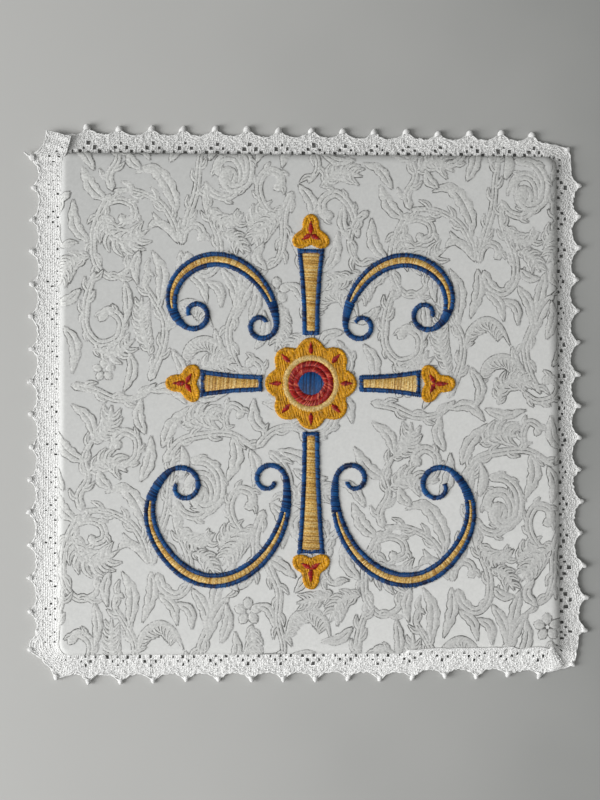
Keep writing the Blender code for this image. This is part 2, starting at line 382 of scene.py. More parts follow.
# One repeat of the figure in millimetres, from the knot where the main stem forks: the form, the half
# width, and the points of its spine.
FIGURE = (
    ("stem", 1.2, ((0.3, 0.6), (2.6, 9.5), (5.2, 18), (6.2, 27.6), (7.6, 36))),
    ("stem", 1, ((-0.5, 1.1), (-2.1, 7.4), (-6.4, 13.8), (-13.8, 17.5), (-21.5, 17.6))),
    ("blade", 1.9, ((-1.3, 10.6), (-2.1, 15.4), (-5.3, 21.7), (-9.5, 24.9), (-14.2, 23.4))),
    ("blade", 1.7, ((-23.4, 14.3), (-28.1, 18.5), (-31.3, 25.4))),
    ("stem", 1.2, ((-22, 16.5), (-26.6, 7.4), (-27.6, 0), (-26.4, -6.3), (-22, -10.2), (-17, -8.2),
        (-15.9, -4))),
    ("acanthus", 3, ((-24.6, 11.5), (-22.3, 4), (-16.5, 1.6), (-9.8, 5.2))),
    ("curl", 1, ((-23.6, 13.4), (-19.2, 14.6), (-15.2, 12.9), (-14.6, 9.2), (-17.6, 7.9), (-18.9, 10))),
    ("blade", 1, ((-0.6, 1), (-3.2, 5.3), (-6.6, 7.6), (-8.6, 10.6))),
    ("blade", 0.9, ((-5.6, 7.4), (-8.4, 7.2), (-10, 5.4))),
    ("curl", 1, ((0.9, 0.6), (1.4, 4), (3.6, 6.6), (6.4, 5.9), (7.2, 3.2), (5.7, 2))),
    ("stem", 1.3, ((2.2, -2), (4.2, -6.9), (8.5, -9), (12.2, -5.2), (12.4, 2.1), (10.1, 8.4),
        (8.2, 13.7), (7.9, 19))),
    ("curl", 1.2, ((8, 20.7), (10.6, 16.9), (15.2, 15.8), (19, 19.2), (19.9, 24.2), (17.6, 28.4),
        (13.6, 28.4), (11.9, 25), (14, 22.8))),
    ("blade", 1.4, ((12.6, 20.2), (15.6, 20), (17, 23.4), (15.2, 25.6))),
    ("acanthus", 2.2, ((8.9, 13.2), (12.4, 8.4), (17.2, 7.4), (20.4, 10.6))),
    ("acanthus", 2.2, ((21.6, 6), (24.8, 10.2), (29.2, 12))),
    ("blade", 1.5, ((0.3, -1.6), (0.6, -8.5), (-2.3, -17.4))),
    ("blade", 1.6, ((-6.4, -18.8), (-5.6, -8.5), (-8.8, -1.6))),
    ("stem", 1.1, ((-9.4, -43), (-5.3, -32.3), (-4.8, -24.4), (-8, -17.6), (-11.1, -12.4),
        (-10, -8.6), (-8.2, -9.8))),
    ("acanthus", 2, ((-9.3, -35), (-11.9, -25.4), (-12, -16))),
    ("comb", 1.9, ((-3.7, -27), (-2.3, -21.5), (2.7, -18), (7.3, -20.1), (10.6, -26))),
    ("blade", 1.3, ((2.7, -8.8), (7.1, -12.4), (8.6, -18.4))),
    ("blade", 1.4, ((13.3, -7), (17.2, -13.4), (18, -20.7))),
    ("blade", 1.4, ((22.3, -2.6), (20.4, -9.7), (18.8, -17))),
    ("blade", 1.5, ((24.8, -9.6), (20.6, -15.4), (18.2, -23.3))),
    ("stem", 1.2, ((18.6, -19.1), (15.6, -27), (17, -35), (20.4, -41.6))),
    ("blade", 1.2, ((11.2, -26.6), (13.2, -33.4), (18.6, -40.3))),
    ("comb", 1.9, ((0.5, -38.7), (3, -32.3), (8, -29.9), (13, -32.2), (16.2, -38.4))),
    ("acanthus", 2.3, ((6.6, -45), (8.2, -39.4), (13.2, -37.4), (17.6, -40))),
    ("curl", 1, ((14.8, -41.3), (19, -44), (24.2, -43), (26.2, -39.2), (23.4, -36.6), (21.2, -38.6))),
    ("blade", 1.6, ((3.7, 37.7), (6.4, 44.5), (12.1, 50.6))),
    ("stem", 1.2, ((4.2, 32.9), (9.2, 39.4), (17, 41.7), (25.4, 41.9), (33.4, 37.2))),
    ("acanthus", 2.8, ((9.6, 44.4), (15.4, 47.6), (22.2, 46.8))),
    ("curl", 0.9, ((24.4, 42.4), (23.6, 47.6), (25.6, 51.2), (28.6, 49.6), (27.6, 46.9))),
    ("blade", 1.7, ((26, 41), (27.3, 34.6), (24.2, 26.8))),
    ("blade", 1.4, ((31.6, 37), (33.7, 31.2), (32.6, 25.4))),
    ("curl", 1.4, ((12.4, 33.6), (18.2, 32.8), (22, 27.8), (21.4, 20.8), (16.6, 18.6), (14, 22),
        (16.2, 25.4))),
    ("curl", 1.1, ((29.4, 10), (26, 15), (25.2, 20), (27.6, 24.2), (31.6, 23.4), (32.2, 19.8),
        (29.9, 18.6))),
    ("stem", 1.2, ((36, 17.8), (33.4, 10.6), (33, 1.6), (31.2, -4.4), (27.6, -6.6), (26.4, -4.2))),
    ("acanthus", 2.4, ((33.6, 12.4), (28, 7.4), (22.6, 0.4))),
    ("flower", 2.2, ((31, -14.2),)),
    ("blade", 1.2, ((33.2, -12.2), (37.4, -13.6), (39.6, -19.6))),
    ("acanthus", 2, ((32.2, -18.4), (32.8, -25.4), (30.6, -33.6))),
    ("stem", 1.1, ((35.4, 4.6), (38.6, -2.6), (40.8, -8.6), (40.4, -17.4), (42.2, -25.7), (40.9, -37))),
    ("comb", 2, ((43, -22.6), (45.4, -16.4), (50.4, -14), (55.2, -17), (57.2, -23))),
    ("blade", 1.4, ((45.8, -8.2), (49.6, -3), (50.6, 5))),
    ("blade", 1.5, ((38, 20), (42.4, 13.6), (41.8, 5.6))),
    ("curl", 1.2, ((57, 3), (55, 12), (50.2, 17.2), (45.6, 14.8), (46, 10.4), (49.2, 10.2))),
    ("acanthus", 2.4, ((45, 19.4), (50.6, 24), (58.4, 22.8))),
    ("stem", 1.1, ((37.6, 36.4), (42.4, 31.6), (44.2, 25.6), (41, 20.6))),
    ("blade", 1.5, ((40.4, 36.8), (47.8, 34.4), (53.8, 29.4))),
    ("curl", 1.1, ((-29.8, -19.1), (-29.6, -26.4), (-25.4, -31.2), (-19.6, -29.4), (-18.6, -23.8),
        (-22.6, -20.8), (-25.4, -24.2))),
    ("stem", 1.2, ((-30.2, -24.1), (-29.2, -15.7), (-26.9, -8.4))),
    ("acanthus", 2.3, ((-27.4, -32.8), (-20.6, -34.4), (-14.2, -30))),
    ("blade", 1.5, ((-36.6, -26), (-33.1, -31.7), (-33.9, -40.8))),
    ("flower", 1.8, ((-23.9, -39.8),)),
    ("blade", 1.3, ((-15.9, -33.9), (-14.9, -40.3), (-17.6, -46.6))),
    ("stem", 1.1, ((-34.2, -44.6), (-27.3, -46), (-19.9, -49), (-12.6, -48.2), (-7.4, -44))),
    ("blade", 1.4, ((-9, -46.4), (-2.6, -45.6), (2.2, -50.4))),
    ("acanthus", 2, ((31.4, -38.6), (34.6, -44.6), (41.6, -46.8))),
    ("blade", 1.3, ((24.2, -32.8), (27.4, -27.2), (26.8, -20.6))),
    ("curl", 1, ((45, -44), (51.4, -42.6), (54.6, -37.4), (51.8, -33), (47.6, -34.4), (48.4, -38))),
    ("blade", 1.3, ((52.2, -27.4), (47, -28.6), (43.8, -33.6))),
    ("stem", 1.1, ((-21.5, 17.6), (-22.6, 22.5), (-19.8, 28), (-21, 34.5), (-18.2, 40.5))),
    ("acanthus", 2.6, ((-19.6, 30), (-13.4, 33.4), (-7.4, 30))),
    ("blade", 1.6, ((-20.8, 33), (-26.4, 36.6), (-30.8, 43.2))),
    ("acanthus", 2.3, ((-18.6, 39.5), (-13.6, 44), (-12.4, 51))),
    ("blade", 1.4, ((-17.8, 40.6), (-19.6, 46.8), (-25, 51.2))),
    ("curl", 1.1, ((-9.4, 31.4), (-4.8, 34.6), (-4.4, 40.2), (-8.2, 42.6), (-11.4, 40), (-9.6, 37.4))),
    ("blade", 1.5, ((-3.2, 27), (-0.4, 33.4), (0.2, 41.2))),
    ("blade", 1.4, ((-1.8, 42), (-4, 47.6), (-3, 53.4))),
    ("blade", 1.3, ((-27.4, 24.2), (-31.2, 30.2), (-36.6, 32.4))),
    ("blade", 1.3, ((-12.4, 24.6), (-15.6, 27.2), (-16.4, 30.8))),
    ("blade", 1.5, ((-29, 1), (-33.4, 6.4), (-34, 14.6))),
    ("acanthus", 2.3, ((-28.6, -3.6), (-34.4, -5.4), (-38.6, -12.2))),
    ("blade", 1.3, ((-31.4, -14), (-35.4, -17.6), (-41.2, -18.4))),
    ("stem", 1, ((-35, 17), (-39.4, 12.8), (-41, 6), (-38.2, 0.2), (-33.8, 0.4))),
    ("acanthus", 1.9, ((13.4, 4.4), (17.6, 2.6), (20.4, -2.4))),
    ("blade", 1.2, ((14, -1.6), (16.6, -4.2), (20.6, -4.6))),
    ("blade", 1.2, ((-12.8, -1.6), (-14.4, -7), (-13.4, -12.4))),
    ("blade", 1.2, ((-17.4, -11.6), (-16.4, -18.4), (-17.2, -25))),
    ("blade", 1.1, ((9.4, 27.6), (10.8, 33.2), (9.8, 38.2))),
    ("blade", 1.4, ((36.4, 3), (41, 0.6), (46, -3.6))),
    ("stem", 1.1, ((40.9, -36), (38.8, -42.4), (41.2, -49), (47.4, -51.4))),
    ("acanthus", 2.2, ((41.4, -28.6), (36.6, -31.6), (35, -38.8))),
    ("blade", 1.5, ((48.4, -47.6), (53.6, -50.4), (55, -56.6))),
    ("blade", 1.3, ((-2.2, -33.4), (1, -40), (-1.2, -47))),
    ("stem", 1.1, ((33.6, 37.6), (38.4, 42.6), (44.6, 44.2), (50.2, 41.4))),
    ("curl", 1.1, ((50.2, 41.4), (55.4, 42.6), (58.4, 46.8), (56, 50.6), (52.4, 49.2), (53.2, 46.4))),
    ("acanthus", 2.4, ((44.6, 45.6), (43, 50.8), (37.4, 54.2))),
    ("blade", 1.5, ((36.8, 42.4), (33, 46.4), (32.6, 53.2))),
    ("blade", 1.2, ((45.4, 30.6), (50.4, 27.6), (56, 28))),
    ("blade", 1.2, ((27.8, -7.6), (24.4, -3.6), (26.8, 1.2))),
    ("blade", 1.2, ((52.6, 13.6), (52, 7.4), (54.6, 1.4))),
    ("acanthus", 1.9, ((57.6, -8.6), (53, -10.4), (46.4, -11.6))),
    ("blade", 1.3, ((22.4, -24), (24.6, -17.4), (24, -11.6))),
    ("blade", 1.2, ((8.6, -11.4), (12.6, -14), (13.2, -19.6))),
    ("blade", 1.2, ((2.4, -46.6), (8.4, -48.6), (15.4, -47))),
)


def smooth_line(points, step):
    """Points about a step apart on a smooth curve through the given ones."""
    points = [Vector(p) for p in points]
    points = [2 * points[0] - points[1], *points, 2 * points[-1] - points[-2]]
    line = []
    for a, b, c, d in zip(points, points[1:], points[2:], points[3:]):
        count = max(1, round((c - b).length / step))
        for i in range(count):
            t = i / count
            point = 2 * b + (c - a) * t + (2 * a - 5 * b + 4 * c - d) * t**2
            line.append((point + (3 * b - a - 3 * c + d) * t**3) / 2)
    line.append(points[-2])
    return line


def rounded(share, first, last):
    """1 along a band, falling to 0 in a quarter round over these shares of it at its ends."""
    near = min(share / first, (1 - share) / last, 1)
    return math.sqrt(max(1 - (1 - near) ** 2, 0))


def leaf_width(form, share):
    """The half width of a form as a share of its widest."""
    if form == "stem":
        return (1 - 0.45 * share) * rounded(share, 0.03, 0.05)
    if form == "curl":
        return (0.75 + 0.35 * share) * rounded(share, 0.06, 0.06)
    if form == "petal":
        return rounded(share, 0.5, 0.4)
    if form == "finger":
        return math.sin(math.pi * (0.26 + 0.74 * share)) ** 0.8
    return math.sin(math.pi * share**0.85) ** 0.75


def bent_spine(start, direction, side, bends, length):
    """The spine of a finger or leaflet that leaves a band at its start and turns along it."""
    spine = [start]
    for turn, part in bends:
        spine.append(spine[-1] + spin(turn * side) @ direction * length * part)
    return spine


def lay_leaf(bm, form, half, points, base):
    """A lobed leaf: a rib, and pointed fingers that sweep forward from both sides of it, or from one."""
    sides, pitch, bends, length = FINGERS[form]
    lay_form(bm, "blade", half * 0.42, points, base)
    line = smooth_line(points, RIB_STEP)
    count = len(line) - 1
    fingers = round(RIB_STEP * count / pitch)
    for finger in range(fingers):
        for side in sides:
            share = 0.05 + 0.84 * (finger + (0.5 if side > 0 else 0)) / fingers
            start = line[round(share * count)]
            direction = (line[round(share * count) + 1] - start).normalized()
            reach = half * length * (0.45 + 0.55 * math.sin(math.pi * share) ** 0.8)
            spine = bent_spine(start, direction, side, bends, reach)
            lay_form(bm, "finger", 0.36 + 0.12 * reach, spine, base + 0.0001 * (2 * finger + (side > 0)))


def lay_form(bm, form, half, points, base):
    """One form of the figure, as a band that follows its spine."""
    if form in FINGERS:
        lay_leaf(bm, form, half, points, base)
        return
    if form == "flower":
        middle = Vector(points[0])
        for petal in range(PETALS):
            out = spin(360 / PETALS * petal + 20) @ Vector((half, 0))
            lay_form(bm, "petal", half * 0.62, [middle + out * reach for reach in (0.35, 1.2, 2)], base)
        return
    step = SPINE_STEPS[form]
    lobed = form == "blade" and half > LARGE_BLADE
    line = smooth_line(points, step)
    count = len(line) - 1
    pitch, length = LEAFLETS.get(form, (math.inf, 0))
    leaflets = round(count * step / pitch)
    for leaflet in range(leaflets):
        row = round((leaflet + 0.45) / leaflets * (count - 1)) + 1
        side = -1 if leaflet % 2 else 1
        direction = (line[row] - line[row - 1]).normalized()
        if form == "curl":
            side = 1 if direction.cross(line[min(row + 1, count)] - line[row - 1]) < 0 else -1
        spine = bent_spine(line[row], direction, side, LEAFLET_BENDS, length)
        lay_form(bm, "finger", LEAFLET_HALF, spine, base - LAYER / 2)
    section = NARROW_SECTION if form in ("finger", "petal") else SECTION

    def veined(row):
        if form == "blade":
            return lobed and 0.12 < row / count < 0.62
        return form != "petal" and 0.06 < row / count < 0.8

    def place_at(column, row):
        near, far = line[max(row - 1, 0)], line[min(row + 1, count)]
        direction = (far - near).normalized()
        side = direction.orthogonal()
        share, more, height, _ = section[column]
        width = half * FULLER.get(form, 1) * leaf_width(form, row / count)
        if lobed:
            lobe = row * step / LOBE_PITCH + (0.5 if share > 0 else 0)
            width *= 1 - LOBE_DEPTH * (1 - abs(math.sin(math.pi * lobe)))
        out = share * width + more
        if share * more < 0:
            out = share * max(width - SLOPE, 0.4 * width)
        if share == 0:
            out = math.copysign(min(abs(more), 0.2 * width), more)
            height -= 0.07 if more == 0 and veined(row) else 0
        place = line[row] + side * out
        if row in (0, count) and share * more > 0:
            place += direction * (SUNK_LINE if row else -SUNK_LINE)
        return Vector((*place, height + base))

    verts, column_of = grid(bm, len(section), count + 1, place_at)
    row_of = {vert: i // len(section) for i, vert in enumerate(verts)}
    for face in {face for vert in verts for face in vert.link_faces}:
        woven = section[min(column_of[vert] for vert in face.verts)][3]
        first = min(row_of[vert] for vert in face.verts)
        # The sunk lines and the veins take the second finish, painted dark as their shade.
        face.material_index = int(woven == "sunk" or woven == "vein" and veined(first))


bm = bmesh.new()
for layer, (form, half, points) in enumerate(FIGURE):
    lay_form(bm, form, half, points, LAYER * layer)
one_repeat = bm.verts[:] + bm.edges[:] + bm.faces[:]
for across_count in (-1, 0, 1):
    for down_count in (-1, 0, 1):
        if across_count or down_count:
            shift = REPEAT_ACROSS * across_count + REPEAT_DOWN * down_count
            copied = bmesh.ops.duplicate(bm, geom=one_repeat)["geom"]
            points = [item for item in copied if isinstance(item, bmesh.types.BMVert)]
            bmesh.ops.translate(bm, verts=points, vec=(shift.x, shift.y, 0))
bmesh.ops.translate(bm, verts=bm.verts, vec=(KNOT.x, KNOT.y, 0))
bmesh.ops.scale(bm, verts=bm.verts, vec=(MM, MM, MM))
# The figure is cut into strips where it bends round the edge, and ends at the seam.
for normal in ((1, 0, 0), (-1, 0, 0), (0, 1, 0), (0, -1, 0)):
    for share in (1, 0.66, 0.33, 0, -0.35):
        out = FLAT_HALF + FLAT_CORNER + share * TURN * math.pi / 2
        bmesh.ops.bisect_plane(
            bm,
            geom=bm.verts[:] + bm.edges[:] + bm.faces[:],
            plane_co=Vector(normal) * out,
            plane_no=normal,
            clear_outer=share == 1,
        )
for vert in bm.verts:
    vert.co = over_edge(vert.co.x, vert.co.y, vert.co.z)
bmesh.ops.remove_doubles(bm, verts=bm.verts, dist=1e-7)

figure_finish, fibre, place, shader = finish("damask_figure", 0.5, specular=0.35)
floats = weave(fibre, place, 0.30 * MM, 30)
mottle = speckle(fibre, place, 0.7 * MM)
# Painted sheen: the figure is painted lighter at the upper left and darker at the lower right, the other
# way round from the ground.
turned = painted_light_towards_lower_right(fibre, place)
shade = turned.mix((0.48, 0.485, 0.47, 1), (0.56, 0.56, 0.55, 1))
light = turned.mix((0.85, 0.855, 0.83, 1), (0.80, 0.80, 0.78, 1))
tone = mottle * 1.8 + floats * 0.3 - 0.55
dress(fibre, shader, tone.mix(shade, light), floats * 0.7 + mottle * 1.4, 0.8)
# Painted shade: the sunk lines round the forms and the veins are painted dark, broken into dots, for the
# shade in these grooves.
sunk_line_painted_shade, fibre, place, shader = finish("damask_sunk_line_painted_shade", 0.8, specular=0.1)
broken = speckle(fibre, place, 0.6 * MM) * 0.45 + speckle(fibre, place, 5 * MM) * 0.55
dress(fibre, shader, (broken * 4.2 - 1.6).mix((0.13, 0.13, 0.125, 1), (0.68, 0.68, 0.67, 1)))
figure = add_cloth("damask_figure", bm, [figure_finish, sunk_line_painted_shade])

# The blue satin stitch.
# Machine embroidery in royal blue rayon: close stitches laid across every outline and curl, over a
# thin padding, each drawn down into the cloth at both ends. All sizes from here on are in millimetres.
STITCH_FOOT = 4.2
STITCH_TOP = 4.62
THREAD = 0.19
PITCH = 0.34
OUTLINE_WIDTH = 1.3
CROSS_CENTRE = Vector((0, 6))
ARM_START = 15.6
ARM_NARROW = 2.6
ARM_WIDE = 4.3
ARMS = {"right": (0, 35), "top": (90, 43), "left": (180, 35), "bottom": (270, 54)}
SCROLL_HALF_WIDTH = 2.3
SCROLL_TIP = 0.8
SCROLLS = {
    "lower": ((8, -24), (4, -48), (30, -69), (46, -48), (53, -39), (53, -29), (45, -22)),
    "upper": ((11, 25), (12, 40), (28, 52), (40, 42), (46, 37), (46, 28), (40, 24)),
}
# The share of a scroll's length, at each end, where its outline closes over the gold.
OUTLINE_CLOSED = 0.12
# The golds each stitch is drawn from: the gold itself, its brighter copy as painted glint, its browner copy
# as painted shade.
GOLD_MIX = (0, 0, 1, 1, 2)
CURL_HALF_WIDTH = 0.68
CURL_STEPS = 60
# Each curl as (scroll, end, way it winds, first radius, last radius, sweep in degrees).
CURLS = (
    ("lower", "last", 1, 6.5, 2.2, 330),
    ("lower", "first", -1, 5.5, 2.0, 330),
    ("upper", "last", -1, 5.2, 2.0, 320),
    ("upper", "first", 1, 5.0, 2.0, 330),
)
rng = random.Random(4)
noise.seed_set(4)


def evenly(line, pitch):
    """Points an even pitch apart along a line, as (point, direction, share of the length)."""
    lengths = [0]
    for near, far in zip(line, line[1:]):
        lengths.append(lengths[-1] + (far - near).length)
    count = max(2, round(lengths[-1] / pitch))
    found = []
    i = 0
    for step in range(count + 1):
        out = lengths[-1] * step / count
        while i < len(line) - 2 and lengths[i + 1] < out:
            i += 1
        share = (out - lengths[i]) / (lengths[i + 1] - lengths[i])
        found.append(line[i].lerp(line[i + 1], share))
    directions = []
    for i in range(count + 1):
        directions.append((found[min(i + 1, count)] - found[max(i - 1, 0)]).normalized())
    return [(found[i], directions[i], i / count) for i in range(count + 1)]


def stitch(start, end, top, dye_or_painted_light):
    """One stitch: out of the cloth, over the padding, and down into the cloth again. Its finish is a number
    in the list of finishes, or numbers to draw from; some of these are darker or brighter copies of one
    thread, painted shade and painted highlights."""
    loose = rng.uniform(-0.05, 0.05)
    points = []
    for share, rise in ((0, 0), (0.13, 0.68), (0.5, 1), (0.87, 0.68), (1, 0)):
        flat = start.lerp(end, share)
        points.append((flat.x, flat.y, STITCH_FOOT + (top + loose - STITCH_FOOT) * rise))
    if not isinstance(dye_or_painted_light, int):
        dye_or_painted_light = rng.choice(dye_or_painted_light)
    return dye_or_painted_light, points


def sew_band(line, half_width, inner=None, first=0, last=1, top=STITCH_TOP, slant=0.15, dye_or_painted_light=(0, 0, 1)):
    """Satin stitches along a line: right across the band, or from its two edges in to its inner width."""
    made = []
    for point, direction, share in evenly(line, PITCH):
        if not first <= share <= last:
            continue
        side = direction.orthogonal()
        ragged = rng.uniform(-0.14, 0.14)
        width = half_width(share) + ragged
        lean = direction * slant
        near = inner(share) if inner else 0
        if near <= 0:
            made.append(stitch(point + side * width + lean, point - side * width - lean, top, dye_or_painted_light))
            continue
        for way in (side, -side):
            made.append(stitch(point + way * width + lean, point + way * near - lean, top, dye_or_painted_light))
    return made


def sew(name, strands, finishes, nodes=(), thread=THREAD):
    """Threads as one mesh of thin tubes of this radius, from (which finish, points) each."""
    drawing = bpy.data.curves.new(name, "CURVE")
    drawing.dimensions = "3D"
    drawing.bevel_depth = thread * MM
    drawing.bevel_resolution = 0
    for made in finishes:
        drawing.materials.append(made)
    for dye_or_painted_light, points in strands:
        spline = drawing.splines.new("POLY")
        spline.points.add(len(points) - 1)
        spline.points.foreach_set("co", [v for x, y, z in points for v in (x * MM, y * MM, z * MM, 1)])
        spline.material_index = dye_or_painted_light
    drawn = bpy.data.objects.new(name, drawing)
    mesh = bpy.data.meshes.new_from_object(drawn)
    bpy.data.objects.remove(drawn)
    obj = add_object(name, mesh)
    if nodes:
        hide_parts(*nodes)
    return obj


def thread_finish(name, deep, bright, roughness=0.40, specular=0.5, metallic=0.0, fleck=0.8):
    """A thread, darker and brighter from stitch to stitch and from place to place. Some finishes are
    darker or brighter copies of one dyed thread: painted shade, painted glints and painted highlights.
    """
    made, fibre, place, shader = finish(name, roughness, specular, metallic=metallic)
    tone = speckle(fibre, place, 0.5 * MM) * fleck + speckle(fibre, place, 5 * MM) * (1 - fleck)
    low, high = 0.36, 0.64
    dress(fibre, shader, ((tone - low) * (1 / (high - low))).mix((*deep, 1), (*bright, 1)))
    return made


def scroll_line(name):
    """The centre line of a scroll on the right side: two curves end to end."""
    points = [Vector(p) for p in SCROLLS[name]]
    first = interpolate_bezier(*points[0:4], 40)
    second = interpolate_bezier(*points[3:7], 40)
    return [Vector(p[:2]) for p in first + second[1:]]


def scroll_half_width(share):
    return SCROLL_TIP + (SCROLL_HALF_WIDTH - SCROLL_TIP) * math.sin(math.pi * share) ** 0.7


def scroll_hole(share):
    if not OUTLINE_CLOSED < share < 1 - OUTLINE_CLOSED:
        return 0
    return scroll_half_width(share) - OUTLINE_WIDTH


def curl_line(scroll, end, way, first_radius, last_radius, sweep):
    line = scroll_line(scroll)
    if end == "first":
        line = line[::-1]
    direction = (line[-1] - line[-2]).normalized()
    inwards = direction.orthogonal() * way
    centre = line[-1] + inwards * first_radius
    curl = []
    for step in range(CURL_STEPS + 1):
        share = step / CURL_STEPS
        radius = first_radius + (last_radius - first_radius) * share
        curl.append(centre - spin(sweep * share * way) @ inwards * radius)
    return curl


def curl_half_width(share):
    return CURL_HALF_WIDTH * (1.1 - 0.25 * share**3)


def arm_line(name):
    turn, end = ARMS[name]
    return [CROSS_CENTRE + heading(turn) * ARM_START, CROSS_CENTRE + heading(turn) * end]


def sew_core(line, half_width, inset):
    """The gold inside an outline: a little lower, and short of both ends by this share of the length."""
    return sew_band(line, half_width, first=inset, last=1 - inset, top=STITCH_TOP - 0.1, dye_or_painted_light=GOLD_MIX)


def arm_half_width(share):
    return ARM_NARROW + (ARM_WIDE - ARM_NARROW) * share**2


def arm_hole(share):
    return arm_half_width(share) - OUTLINE_WIDTH


def mirrored(line, side):
    return [Vector((p.x * side, p.y)) for p in line]


outlines, outline_nodes = [], []
curls, curl_nodes = [], []
cores, core_nodes = [], []
for side, side_name in ((1, "right"), (-1, "left")):
    for name in SCROLLS:
        line = mirrored(scroll_line(name), side)
        outlines += sew_band(line, scroll_half_width, scroll_hole)
        cores += sew_core(line, scroll_hole, OUTLINE_CLOSED)
        outline_nodes.append(f"scroll_{name}_{side_name}_outline")
        core_nodes.append(f"scroll_{name}_{side_name}_core")
    for curl in CURLS:
        curls += sew_band(mirrored(curl_line(*curl), side), curl_half_width)
        curl_nodes.append(f"curl_{curl[0]}_{curl[1]}_{side_name}")
for name in ARMS:
    line = arm_line(name)
    direction = (line[1] - line[0]).normalized()
    side = direction.orthogonal()
    outlines += sew_band(line, arm_half_width, arm_hole)
    for end, way, width in ((line[0], 1, ARM_NARROW), (line[1], -1, ARM_WIDE)):
        border = [end + direction * way * OUTLINE_WIDTH / 2 + side * s * (width - 0.9) for s in (-1, 1)]
        outlines += sew_band(border, lambda share: OUTLINE_WIDTH / 2, top=STITCH_TOP + 0.04)
    cores += sew_core(line, arm_hole, OUTLINE_WIDTH / 2 / (line[1] - line[0]).length)
    outline_nodes.append(f"arm_{name}_outline")
    core_nodes.append(f"arm_{name}_core")
# The second blue is a darker copy of the first, drawn at random for some stitches: painted shade.
blues = [
    thread_finish("blue_rayon", (0.004, 0.030, 0.13), (0.010, 0.12, 0.36), 0.36, fleck=0.5),
    thread_finish("blue_rayon_painted_shade", (0.002, 0.008, 0.045), (0.004, 0.03, 0.12), 0.36, fleck=0.5),
]
sew("blue_outlines", outlines, blues, outline_nodes)
sew("blue_curls", curls, blues, curl_nodes)

# The gold filling.
# Metallic gold thread laid across the arms and scrolls between their blue edges, in satin stitch that
# lies a little lower. Stitches are drawn at random in the gold, in a brighter copy and in a browner copy,
# and flecked with brown: painted glints and painted shade where the foil turns to and from the light.
golds = [
    thread_finish("gold_foil_thread", (0.50, 0.26, 0.04), (0.96, 0.66, 0.20), 0.38, 0.6, 0.1, 0.85),
    thread_finish("gold_foil_painted_glint", (0.62, 0.38, 0.10), (1.0, 0.80, 0.38), 0.34, 0.6, 0.1, 0.85),
    thread_finish("gold_foil_painted_shade", (0.30, 0.14, 0.02), (0.72, 0.42, 0.10), 0.42, 0.6, 0.1, 0.85),
]
sew("gold_filling", cores, golds, core_nodes)

# The orange buds and boss.
# Golden orange rayon: rows of long stitches as filling, all one way, with a satin edge over their ends.
BUD_RADIUS = 4.9
BUD_SWELL = 1.6
BUD_OFFSET = 4.8
BOSS_RADIUS = 13.2
BOSS_SCALLOP = 1.4
BOSS_LOBES = 8
RING_RADIUS = 7.2
CENTRE_RADIUS = 3.8
EDGE_WIDTH = 1.1
EDGE_TOP = STITCH_TOP - 0.02
FILL_STITCH = 3.2
FILL_TURN = 90
FILL_TOP = STITCH_TOP - 0.12
# The straw ring inside the boss: how far its outer edge stands out from the red ring, and its width.
STRAW_OUT = 1.9
STRAW_WIDTH = 1.8
# The red drops, as (near end, far end, half width): on the boss's lobes, measured from its centre, and
# on a bud's leaves, at each leaf's turn from its arm.
BOSS_DROP = (9.6, 13.0, 0.75)
BUD_DROPS = {0: (0.2, 4.0, 0.8), 120: (0.2, 3.2, 0.8), 240: (0.2, 3.2, 0.8)}
RING_STEPS = 120


def ring_line(centre, radius_at, turn=0.0):
    """A closed line round a centre, where radius_at(angle) gives the distance."""
    found = []
    for i in range(RING_STEPS + 1):
        angle = 2 * math.pi * i / RING_STEPS
        found.append(centre + Matrix.Rotation(angle + turn, 2) @ Vector((radius_at(angle), 0)))
    return found


def sew_inwards(line, width, top, dye_or_painted_light=(0, 1)):
    """A satin edge from a closed anticlockwise line inwards."""
    made = []
    for point, direction, share in evenly(line, PITCH):
        inwards = direction.orthogonal()
        made.append(stitch(point - inwards * rng.uniform(-0.12, 0.12), point + inwards * width, top, dye_or_painted_light))
    return made


def fill_rows(lines):
    """Long stitches in parallel rows inside these closed lines, their joins staggered from row to row."""
    made = []
    grain = spin(FILL_TURN)
    sides = []
    for line in lines:
        laid = [grain.transposed() @ p for p in line]
        sides += zip(laid, laid[1:])
    low = min(a.y for a, b in sides)
    rows = int((max(a.y for a, b in sides) - low) / PITCH)
    for row in range(rows):
        y = low + (row + 0.5) * PITCH
        crossed = [(a, b) for a, b in sides if (a.y > y) != (b.y > y)]
        cuts = sorted(a.x + (b.x - a.x) * (y - a.y) / (b.y - a.y) for a, b in crossed)
        for near, far in zip(cuts[::2], cuts[1::2]):
            start = near
            while start < far - 0.2:
                end = start + FILL_STITCH
                if start == near:
                    end = near + FILL_STITCH * (0.35 + 0.65 * (row * 0.382 % 1))
                end = far if end > far - 0.6 else end
                ends = grain @ Vector((start, y)), grain @ Vector((end, y))
                made.append(stitch(*ends, FILL_TOP, (0, 0, 1)))
                start = end
    return made


def drop(centre, way, near, far, half):
    """Crosswise stitches in the shape of a drop that points away from a centre."""

    def half_width(share):
        return half * math.sin(math.pi * share**0.7) + 0.12

    return sew_band([centre + way * near, centre + way * far], half_width, top=STITCH_TOP + 0.1)


def boss_radius(angle):
    return BOSS_RADIUS + BOSS_SCALLOP * (2 * abs(math.cos(BOSS_LOBES / 2 * angle)) - 1)


